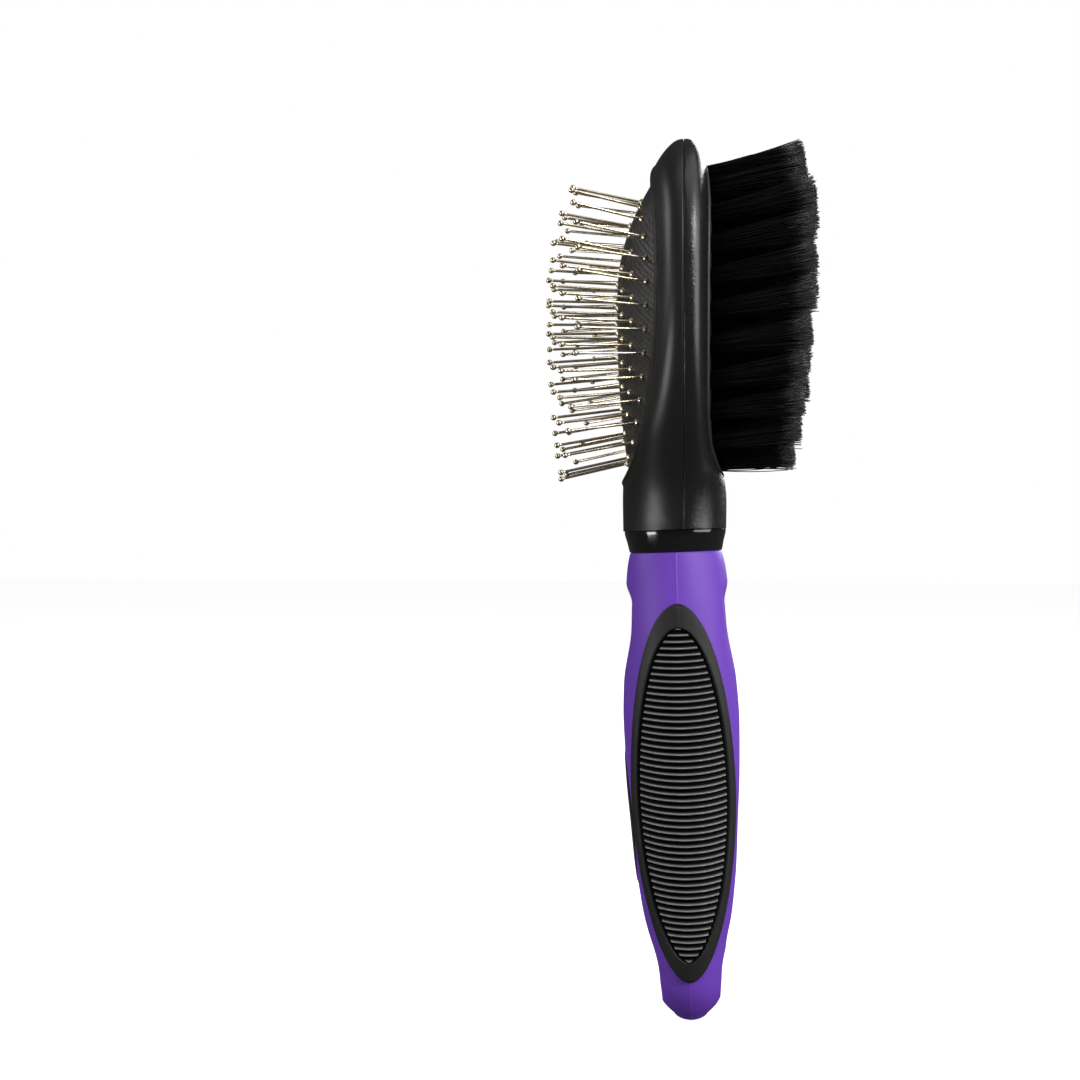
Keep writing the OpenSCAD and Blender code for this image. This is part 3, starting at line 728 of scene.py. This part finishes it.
pin_roots = np.stack([pin_places[:, 0], -pin_root, pin_places[:, 1]], -1)
for k in range(1, LEVELS + 1):
    chosen = level == k
    pins = many_turned(f"pins_{k}", pin_roots[chosen], pin_ways[chosen], PIN_PROFILE, 12, (-0.3, PIN_LEN))
    settle(pins, f"pin_group_{k}", pin_steel, "pin_steel", f"pins_level_{k}")

# %% [markdown]
# ## The bristle block and its tufts
# The tufts stand in drilled holes in a black block. The block is one field of heights with a
# small dent round every tuft. Each tuft is a bunch of separate nylon filaments: hair particles
# would be quick, but they leave no mesh, so each filament is a thin three-sided tube that starts
# in its hole, spreads outwards and ends at its own length.

# %% Places of the tufts
TUFT_RINGS = [(23, 20.4, 32.2, 42.6), (17, 13.6, 24.0, 34.0), (12, 7.0, 16.6, 25.6)]
tuft_fields = [egg_stations(*r) for r in TUFT_RINGS]
tuft_fields.append(np.stack([np.zeros(4), EGG_MID + 9.2 - 8.3 * np.arange(4)], -1))
all_tufts = np.concatenate(tuft_fields)
print("tufts:", len(all_tufts))

# %% The block
BLOCK_PROUD, BLOCK_FLOOR, BLOCK_GAP, BLOCK_SIDES = 0.35, 1.9, 0.12, 260
block_turn = 2 * np.pi * np.arange(BLOCK_SIDES) / BLOCK_SIDES
rows = np.concatenate([np.linspace(0.02, 0.97, 66), [0.98, 0.99, 0.996, 1.0]])
fall = np.concatenate([np.zeros(67), [0.05, 0.16, 0.4]])
x, z = egg_point(block_turn[None, :], *[(v - BLOCK_GAP) * rows[:, None] for v in BLOCK])
away = np.hypot(x[..., None] - all_tufts[:, 0], z[..., None] - all_tufts[:, 1])
dents = (0.55 * (1 - ease((away - 1.75) / 0.5))).max(-1)
y = face_depth("back", x, z) + BLOCK_PROUD - fall[:, None] - dents
face = np.stack([x, y, z], -1)
wall = face[-1:].copy()
wall[..., 1] = BLOCK_FLOOR
crown = float(face_depth("back", 0.0, EGG_MID)) + BLOCK_PROUD
poles = [[0, crown, EGG_MID], [0, BLOCK_FLOOR, EGG_MID]]
block = capped("bristle_holder", np.concatenate([face, wall]), poles)
settle(block, "brush", block_matte, "block_black", "bristle_block")


# %% One filament, many times
STRANDS, STEPS, STRAND_SIDES = 300, 5, 3
TUFT_ROOT, TUFT_TIP, STRAND_R = 1.9, 3.3, 0.14
HOLE_DEEP, TUFT_REACH, TUFT_LEAN = 1.6, 33.3, 0.13


def tuft_strands(places, seed):
    """Centre lines: root + way t + outward (r0 + (r1 - r0) t^1.35) + a slow sideways wave. The tips
    lie on a crown that falls away from its middle, less a ragged share."""
    rng = np.random.default_rng(seed)
    n = len(places)
    x, z = places[:, 0], places[:, 1]
    way = unit(np.stack([0.008 * x, np.ones(n), TUFT_LEAN + 0.0004 * (z - EGG_MID)], -1))
    root = np.stack([x, face_depth("back", x, z) + BLOCK_PROUD - HOLE_DEEP, z], -1)
    d = z - EGG_MID - 8
    tip = TUFT_REACH - np.where(d > 0, 0.006, 0.0018) * d * d - 0.004 * x * x
    length = (tip - root[:, 1]) / way[:, 1]
    a, b = side_axes(way)
    k = np.arange(STRANDS)
    golden = math.pi * (3 - math.sqrt(5))
    spin = k * golden + rng.uniform(0, 6.28, (n, 1)) + rng.normal(0, 0.25, (n, STRANDS))
    out = np.sqrt((k + 0.5) / STRANDS) * rng.uniform(0.9, 1.08, (n, STRANDS))
    cut = (length[:, None] * (1 - 0.02 * rng.random((n, STRANDS))) - rng.exponential(0.7, (n, STRANDS))
           + 0.35 * (1 - out) + rng.normal(0, 0.45, (n, 1)))
    t = np.linspace(0, 1, STEPS)
    lean = rng.normal(0, 0.55, (n, STRANDS, 2)) + rng.normal(0, 0.28, (n, 1, 2))
    bend = rng.normal(0, 0.35, (n, STRANDS, 2))
    radius = out[..., None] * (TUFT_ROOT + (TUFT_TIP - TUFT_ROOT) * t ** 1.35)
    wave = lean[..., None, :] * (t ** 1.5)[:, None] + bend[..., None, :] * np.sin(np.pi * t)[:, None]
    pa = radius * np.cos(spin)[..., None] + wave[..., 0]
    pb = radius * np.sin(spin)[..., None] + wave[..., 1]
    line = (root[:, None, None] + way[:, None, None] * (cut[..., None] * t)[..., None]
            + a[:, None, None] * pa[..., None] + b[:, None, None] * pb[..., None])
    shade = np.clip(rng.normal(0.4, 0.25, (n, STRANDS)), 0, 1)
    return line.reshape(-1, STEPS, 3), np.repeat(a, STRANDS, 0), np.repeat(b, STRANDS, 0), shade.ravel()


def tuft_piece(name, places, seed):
    """Three-sided tubes on the centre lines, closed at both ends and thinner at the tip."""
    line, a, b, shade = tuft_strands(places, seed)
    t = 2 * np.pi * np.arange(STRAND_SIDES) / STRAND_SIDES
    ring = a[:, None, None] * np.cos(t)[:, None] + b[:, None, None] * np.sin(t)[:, None]
    width = STRAND_R * np.array([1, 1, 1, 1, 0.8])
    each = STEPS * STRAND_SIDES
    points = (line[:, :, None] + ring * width[:, None, None]).reshape(-1, each, 3)
    tris = np.array([[2, 1, 0], [each - 3, each - 2, each - 1]])
    return repeated(name, points, ring_quads(STEPS, STRAND_SIDES), tris, sharp=180,
                    strand=np.repeat(shade, each))


# %% Make the four fields of tufts
TUFT_NAMES = ["tuft_ring_outer", "tuft_ring_middle", "tuft_ring_inner", "tuft_row_centre"]
for k, (cad_name, places) in enumerate(zip(TUFT_NAMES, tuft_fields)):
    tufts = tuft_piece(cad_name.replace("tuft_", "bristles_"), places, 40 + k)
    settle(tufts, "brush", bristle_nylon, "bristle_nylon", cad_name)

# %% [markdown]
# ## The handle
# The handle is a loft of ellipses whose width and depth swell and narrow, with a thumb dimple on
# each face and a shallow pocket on each side for the grips. The columns of the grid run along
# the edge of the grips, so that the pocket's edge is crisp. The hang hole is cut last, with a
# trumpet-shaped tool that opens wider on the front than on the back.

# %% Width, depth and dimple
HANDLE_W, HANDLE_D, HANDLE_TOP = 31.4, 30.0, 121.8
WIDTH_KNOTS = [
    [2, 0.345], [5, 0.5], [9, 0.63], [14.5, 0.7], [20.7, 0.777], [27, 0.828], [33, 0.873],
    [40, 0.917], [52, 0.968], [62, 0.994], [72, 1], [80, 0.994], [88, 0.975], [98, 0.936], [106, 0.904],
    [113, 0.854], [118.5, 0.796], [121.8, 0.75]]
DEPTH_KNOTS = [
    [2, 0.3], [5, 0.485], [9, 0.582], [14.5, 0.615], [20.7, 0.66], [27, 0.753], [33, 0.813],
    [40, 0.867], [52, 0.92], [62, 0.967], [72, 0.993], [80, 1], [88, 0.973], [98, 0.927], [106, 0.907],
    [113, 0.88], [118.5, 0.84], [121.8, 0.79]]


def rounded_end(z, knots, full):
    """Half a section's size: the smooth curve, and below 2 mm a round end that closes at zero."""
    low = (1 - (1 - np.minimum(z, 2) / 2) ** 1.6) ** 0.8
    return full / 2 * smooth_curve(knots, z) * np.where(z < 2, low, 1)


def half_w(z):
    """Half the handle's width."""
    return rounded_end(z, WIDTH_KNOTS, HANDLE_W)


def half_d(z):
    """Half the handle's depth."""
    return rounded_end(z, DEPTH_KNOTS, HANDLE_D)


def dimple(x, y, z):
    """Depth of the thumb dimple: round across, steep at its top edge and fading downwards. It is
    deeper on the front."""
    across = (1 - np.minimum(1, np.abs(x) / 7.8) ** 2) ** 1.2
    return np.where(y < 0, 1.8, 1.3) * across * ease((114.2 - z) / 5.7) * ease((z - 87.6) / 17)


def handle_point(a, z, out):
    """A point of the ellipse at turn a, moved by out along the ellipse's own outward direction."""
    w, d = half_w(z), half_d(z)
    nx, ny = np.cos(a) / w, np.sin(a) / d
    size = np.hypot(nx, ny)
    x, y = w * np.cos(a) + out * nx / size, d * np.sin(a) + out * ny / size
    return np.stack([x, y - np.sign(y) * dimple(x, y, z), np.broadcast_to(z, x.shape)], -1)


# %% The lens shape of the grips
GRIP_LOW, GRIP_MID, GRIP_HIGH, GRIP_HALF = 13.0, 61.0, 108.9, 12.7
GRIP_FOOT, GRIP_TIP = GRIP_LOW + 0.05, GRIP_HIGH - 0.02


def lens(z, low, mid, high, half):
    """Half the width of a lens that is rounder at its top than at its foot."""
    above = power(1 - power((z - mid) / (high - mid), 2), 0.5)
    below = power(1 - power((mid - z) / (mid - low), 1.8), 0.55)
    return half * np.where(z >= mid, above, below)


def grip_angle(z, inset=0.0):
    """The turn at which the grip's edge lies at height z."""
    reach = lens(np.clip(z, GRIP_FOOT, GRIP_TIP), GRIP_LOW, GRIP_MID, GRIP_HIGH, GRIP_HALF)
    return np.arcsin(np.minimum(0.96, (reach - inset) / half_d(np.maximum(z, 2))))


# %% The handle's skin
CORNER_TURN = math.radians(0.25)
u = np.linspace(-1, 1, 45)
side_steps = np.sign(u) * np.abs(u) ** 1.5
face_steps = np.linspace(0, 1, 72)[1:-1]
z_low = 2 * (1 - np.cos(np.linspace(0.06, np.pi / 2, 12)))
foot_rows = GRIP_LOW + np.array([0.04, 0.06, 0.2, 0.4, 0.7, 1.1])
tip_rows = GRIP_HIGH - np.array([1.3, 0.8, 0.45, 0.2, 0.08, 0.03, 0.01])
z_rows = np.concatenate([z_low, np.arange(2.6, 12.9, 0.6), foot_rows, np.arange(14.6, 107.5, 0.7),
                         tip_rows, np.arange(109.4, 121.3, 0.6), HANDLE_TOP - np.array([0.3, 0.08, 0])])
z_col = z_rows[:, None]
b = grip_angle(z_col)
lip = np.minimum(CORNER_TURN, 0.2 * b)
in_pocket = ((z_col > GRIP_FOOT) & (z_col < GRIP_TIP)) * 1.0
side = (b - lip) * side_steps
face = b + (np.pi - 2 * b) * face_steps
quarter = np.concatenate([-b, side, b, face], 1)
sink = np.concatenate([0 * b, 0 * side - in_pocket, 0 * b, 0 * face], 1)
turns = np.concatenate([quarter, quarter + np.pi], 1)
sinks = np.concatenate([sink, sink], 1)
TOP_ROUND = 0.35
climb = np.clip((z_col - HANDLE_TOP) / TOP_ROUND + 1, 0, 1)
round_top = TOP_ROUND * (1 - np.sqrt(1 - climb ** 2))
line_turn = np.minimum(np.abs(np.sin(turns)) * half_d(z_col), 5)
parting = 0.1 * np.exp(-(line_turn / 0.22) ** 2) * (1 - in_pocket)
grid = handle_point(turns, z_col, sinks - round_top + parting)
HANDLE_SHARP = 32
handle = capped("handle", grid, [[0, 0, 0], [0, 0, HANDLE_TOP]], leaning=True, sharp=HANDLE_SHARP)

# %% The trumpet-shaped cutter and the cut
HOLE_MID, HOLE_R, HOLE_RUN = 12.6, 3.95, 2.05


def stadium(radius, count=96):
    """A slot's outline: a circle whose upper and lower halves are moved apart by the run."""
    t = 2 * np.pi * (np.arange(count) + 0.5) / count
    return radius * np.cos(t), HOLE_MID + radius * np.sin(t) + HOLE_RUN * np.sign(np.sin(t))


FLARE_START, FLARE_FACE, FLARE_FRONT, FLARE_BACK = 2.2, 8.3, 2.5, 0.6
depths = np.linspace(-11.5, 11.5, 61)[:, None]
climb = np.clip((np.abs(depths) - FLARE_START) / (FLARE_FACE - FLARE_START), 0, 1.6)
flare = np.where(depths < 0, FLARE_FRONT, FLARE_BACK) * climb ** 2.2
slot_x, slot_z = stadium(HOLE_R + flare)
grid = np.stack([slot_x, np.broadcast_to(depths, slot_x.shape), slot_z], -1)
poles = [[0, depths[0, 0], HOLE_MID], [0, depths[-1, 0], HOLE_MID]]
cutter = capped("hole_cutter", grid, poles, leaning=True)


def cut_away(obj, tool):
    """Applies a boolean difference, keeps the result as the object's mesh and removes the tool."""
    modifier = obj.modifiers.new("cut", "BOOLEAN")
    modifier.operation, modifier.solver, modifier.object = "DIFFERENCE", "EXACT", tool
    bpy.context.view_layer.update()
    cut = bpy.data.meshes.new_from_object(obj.evaluated_get(bpy.context.evaluated_depsgraph_get()))
    obj.modifiers.clear()
    obj.data = cut
    bpy.data.objects.remove(tool)
    cut.name = obj.name
    print(obj.name, "after the cut:", len(cut.polygons), "faces")


cut_away(handle, cutter)
handle.data.shade_smooth()
handle.data.set_sharp_from_angle(angle=math.radians(HANDLE_SHARP))
settle(handle, "brush", handle_purple, "handle_purple", "handle_body")

# %% [markdown]
# ## The grips
# Each grip is a lens of black rubber with a smooth border round a sunk field of thin ribs. A bump map would
# look flat at the outline, so the ribs are real: the height over the handle is a formula of the place
# inside the lens, sampled finely enough for round crests. Two attributes tell the rubber where it is a
# crest and where it is the bottom of a furrow; the colour uses them to paint a pale highlight on the crests
# and near-black shade in the furrows.

# %% Height over the handle
RIB_PITCH, RIB_BOW, RIB_WIDE, FIELD = 1.64, 0.9, 0.38, (18.5, 61.0, 103.0, 11.0)


def grip_relief(s, z):
    """Border 1.25 mm proud, rounded down at its edge. Inside the field the floor is 0.95 lower, and
    each rib is a narrow ridge, bowed down in its middle, that ends 0.15 over the border's level;
    both fade over the field's edge."""
    reach = np.maximum(lens(z, *FIELD), 0)
    inside = ease((reach - np.abs(s)) / 0.45) * (reach > 0.3)
    crested = ease((reach - 0.5 - np.abs(s)) / 0.7)
    bow = RIB_BOW * (1 - (s / FIELD[3]) ** 2)
    phase = ((z + bow - FIELD[1]) / RIB_PITCH + 0.5) % 1 - 0.5
    crest = np.exp(-(phase * RIB_PITCH / RIB_WIDE) ** 2)
    border = lens(np.clip(z, GRIP_FOOT, GRIP_TIP), GRIP_LOW, GRIP_MID, GRIP_HIGH, GRIP_HALF)
    edge = 1 - ease((border - np.abs(s)) / 0.8)
    proud = 1.25 - 0.55 * edge ** 2 - inside * (0.95 - 1.1 * crest * crested)
    # This value paints light and shade: 1 gives a pale painted highlight on a crest, 0 a near-black painted
    # shade in a furrow, and 0.05 the border's own colour.
    painted_crest_light = np.maximum(inside * crest ** 3 * crested, 0.05 * (1 - inside))
    return proud, painted_crest_light, inside * (1 - crest * crested)


def grip_piece(name, side):
    """Outer and inner skins of one grip, joined round their edge. Twelve rows of points for a rib
    cover the field, and the rows crowd together towards both tips of the lens."""
    step = RIB_PITCH / 12
    ribs = FIELD[1] + step * np.arange(math.ceil((16.8 - FIELD[1]) / step), int((104.4 - FIELD[1]) / step))
    z = np.concatenate([13.1 + 3.6 * np.linspace(0, 1, 16) ** 1.6, ribs,
                        108.82 - 4.3 * np.linspace(1, 0, 22) ** 1.6])[:, None]
    u = np.linspace(-1, 1, 97)
    b = grip_angle(z) - np.minimum(CORNER_TURN * 1.6, 0.3 * grip_angle(z))
    a = b * np.sign(u) * np.abs(u) ** 0.85
    s = half_d(z) * np.sin(a)
    proud, rib, furrow = grip_relief(s, z)
    line = 0.05 * np.exp(-(s / 0.2) ** 2)
    fold = ease((z - 12.9) / 1.2) * ease((109.0 - z) / 1.2)
    outer = handle_point(a, z, (proud + line) * (0.35 + 0.65 * fold))
    inner = handle_point(a[:, ::8], z, np.full(a[:, ::8].shape, -0.93))[:, ::-1]
    grid = np.concatenate([outer, inner], 1)
    grid[..., 0] *= side

    def with_inside(values):
        both = np.concatenate([values, np.zeros(inner.shape[:2])], 1)
        return np.append(both, [0, 0])

    # The attribute rib paints light and shade into the rubber's colour: a pale highlight on the crests, a
    # near-black shade in the furrows.
    return capped(name, grid, [grid[0].mean(0), grid[-1].mean(0)], leaning=True, sharp=55,
                  rib=with_inside(rib), furrow=with_inside(furrow))


for name, side in (("grip_rubber_right", 1), ("grip_rubber_left", -1)):
    settle(grip_piece(name, side), "brush", grip_rubber, "grip_rubber", name.replace("rubber_", ""))

# %% [markdown]
# ## The badge and the collar
# The badge is a blank oval of gloss plastic that follows the handle's front. The collar is a
# turned ring: a cone, wider at the head, with small rounded edges.

# %% The badge
BADGE_MID, BADGE_HALF_W, BADGE_HALF_L, BADGE_SIDES = 52.8, 5.0, 17.5, 120
share = np.concatenate([np.linspace(0.04, 0.9, 22), [0.93, 0.955, 0.975, 0.99, 1.0]])[:, None]
t = 2 * np.pi * np.arange(BADGE_SIDES) / BADGE_SIDES
x = BADGE_HALF_W * share * np.cos(t)
z = BADGE_MID + BADGE_HALF_L * share * np.sin(t)
front = half_d(z) * np.sqrt(np.clip(1 - (x / half_w(z)) ** 2, 0, 1))
proud = 0.22 + 0.1 * (1 - share ** 2) - 0.2 * power((share - 0.9) / 0.1, 2)
face = np.stack([x, -(front + proud), z], -1)
wall = face[-1:].copy()
wall[..., 1] += 1.0
centre_y = -float(half_d(np.array(BADGE_MID))) - 0.32
poles = [[0, centre_y, BADGE_MID], [0, centre_y + 1.4, BADGE_MID]]
badge = capped("badge_blank", np.concatenate([face, wall]), poles, leaning=True)
settle(badge, "brush", badge_gloss, "badge_black", "badge")

# %% The collar
COLLAR_BORE, COLLAR_LOW, COLLAR_HIGH, COLLAR_SIDES = 5.55, 121.83, 127.54, 128
profile = [(COLLAR_BORE, COLLAR_LOW), (11.7, COLLAR_LOW), (11.9, 121.95), (12.0, 122.12), (12.07, 122.35),
           (12.5, 124.4), (13.05, 126.4), (13.12, 126.9), (13.12, 127.44), (13.09, 127.51),
           (13.02, COLLAR_HIGH), (COLLAR_BORE, COLLAR_HIGH)]
t = 2 * np.pi * np.arange(COLLAR_SIDES) / COLLAR_SIDES
r, z = np.array(profile).T[:, :, None]
grid = np.stack([r * np.cos(t), r * np.sin(t), z + 0 * t], -1)
collar = piece("collar_ring", to_frame(grid, True), ring_quads(*grid.shape[:2], close_rows=True), sharp=35)
settle(collar, "brush", collar_gloss, "collar_black", "collar")

# %% [markdown]
# ## Pieces kept from the CAD model
# The base plate, the tang and the staples are plain inside parts and their CAD shapes are right,
# so they only get their finishes.

# %% Finishes for the kept nodes
KEPT_FINISHES = {"cushion_base": inner_plastic, "handle_core": core_steel, "tuft_staples": staple_wire}
for name, material in KEPT_FINISHES.items():
    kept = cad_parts[name]
    kept.data.materials.clear()
    kept.data.materials.append(material)
    print(name, "wears", material.name)

# %% [markdown]
# ## Studio
# A pale floor lies under the handle's end, and the world is white to the camera but lights the
# brush only weakly. Black plastic shows its shape only by what it reflects, so large square lights
# stand on the bristle side, on the pin side, behind and above. A small one draws a highlight down
# the side of the head, and another lights the handle's end from low on the pin side.

# %% Floor
floor_z = min(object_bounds()[0].z, cad_low.z)
floor_mesh = bpy.data.meshes.new("floor")
FLOOR_HALF = 3.0
corners = [(x * FLOOR_HALF, y * FLOOR_HALF, floor_z) for x, y in ((-1, -1), (1, -1), (1, 1), (-1, 1))]
floor_mesh.from_pydata(corners, [], [(0, 1, 2, 3)])
floor = bpy.data.objects.new("floor", floor_mesh)
bpy.context.scene.collection.objects.link(floor)
floor_paint, tree, shader = new_finish("floor_paint", (0.9, 0.9, 0.9), 0.9, emission_strength=0.93)
shader.inputs["Emission Color"].default_value = (1, 1, 1, 1)
tree.links.new(colour_between(tree, cloud(tree, place_of(tree), 3.0), (0.5, 0.5, 0.5), (0.53, 0.53, 0.53)),
               shader.inputs["Base Color"])
floor_mesh.materials.append(floor_paint)
floor.visible_diffuse = floor.visible_glossy = False
print("floor at", round(floor_z / MM, 1), "mm")

# %% World and lights
world = bpy.data.worlds.new("studio")
bpy.context.scene.world = world
world.use_nodes = True
tree = world.node_tree
sky = tree.nodes["Background"]
sky.inputs["Color"].default_value = (1, 1, 1, 1)
seen = node(tree, "LightPath").outputs["Is Camera Ray"]
tree.links.new(spread_to(tree, seen, 0.06, 1.0, 0.0, 1.0), sky.inputs["Strength"])
bpy.context.scene.view_settings.view_transform = "Standard"


def facing(place, aim):
    """The turn that points a lamp or a camera at place towards aim."""
    way = np.array(aim) - np.array(place)
    return math.acos(-way[2] / np.linalg.norm(way)), 0, math.atan2(way[1], way[0]) - math.pi / 2


def soft_light(name, place, aim, size, watts):
    """A square area light at place, facing aim."""
    lamp = bpy.data.lights.new(name, "AREA")
    lamp.size, lamp.energy = size, watts
    obj = bpy.data.objects.new(name, lamp)
    bpy.context.scene.collection.objects.link(obj)
    obj.location, obj.rotation_euler = place, facing(place, aim)
    print(name, "light:", watts, "W")


soft_light("key", (0.40, 0.85, 0.25), (0, 0, 0.0), 0.8, 8)
soft_light("front", (0.05, -0.95, 0.55), (0, 0, 0.04), 0.5, 3.5)
soft_light("back", (-0.7, 0.35, 0.4), (0, 0, 0.04), 0.5, 5)
soft_light("top", (0.25, 0.35, 0.95), (0, 0, 0.0), 0.9, 3)
soft_light("side", (0.66, 0.54, 0.62), (0, 0, 0.12), 0.2, 5.5)
soft_light("low", (0.30, -0.42, -0.035), (0, 0, -0.05), 0.2, 1.5)

# %% Camera
camera_data = bpy.data.cameras.new("camera")
camera_data.lens, camera_data.sensor_width = 41.26, 36
camera = bpy.data.objects.new("camera", camera_data)
bpy.context.scene.collection.objects.link(camera)
camera.location = (0.325, 0.0, 0.066)
camera.rotation_euler = facing(camera.location, (0, -0.0377, 0.06475))
camera_data.clip_start, camera_data.clip_end = 0.01, 20
bpy.context.scene.camera = camera
print("camera lens:", camera_data.lens, "mm")
